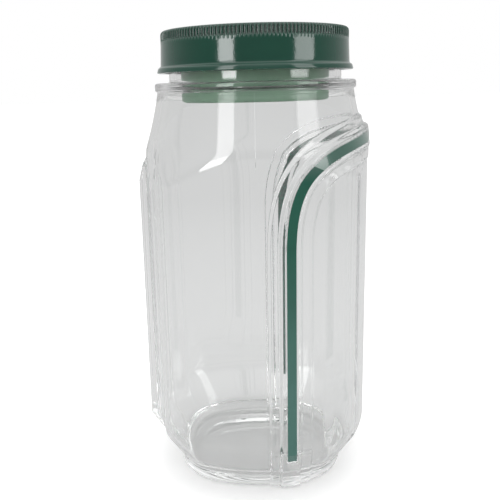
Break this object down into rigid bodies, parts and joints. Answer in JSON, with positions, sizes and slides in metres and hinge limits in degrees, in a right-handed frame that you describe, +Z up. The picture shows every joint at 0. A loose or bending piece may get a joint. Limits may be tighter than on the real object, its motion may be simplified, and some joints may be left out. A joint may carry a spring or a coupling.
{
  "type": "disinfectant jar",
  "caption": "Clear grip jar with an arched rib and green strip, measuring ticks, and a green screw lid that lifts a cup-shaped inner seal out of the neck.",
  "frame": {"origin": "on the neck's axis, at the level that the jar stands on", "axes": "+Z up along the neck; +X towards the side that the arched grip rib wraps; -Y is the front"},
  "size_m": [0.1072, 0.108, 0.208],
  "materials": {
    "clear_jar": "clear, polished",
    "green_strip": "smooth satin",
    "green_lid": "gloss, moulded",
    "seal_liner": "soft foam",
    "frosted_green": "translucent, satin"
  },
  "bodies": {
    "jar": {"jar_body": "clear_jar", "grip_strip": "green_strip"},
    "seal": {"lid_liner": "seal_liner", "inner_cup": "frosted_green"},
    "screw_lid": {"lid": "green_lid"}
  },
  "joints": [
    {"name": "lid_lift", "type": "slide", "parent": "jar", "child": "seal", "axis": [0, 0, 1], "range_m": [0, 0.0306]},
    {"name": "lid_turn", "type": "hinge", "parent": "seal", "child": "screw_lid", "pos_m": [0, 0, 0.2], "axis": [0, 0, 1], "range_deg": [0, 2160]}
  ],
  "couplings": [
    {"joint": "lid_lift", "follows": "lid_turn", "m_per_rad": 0.00080851}
  ]
}
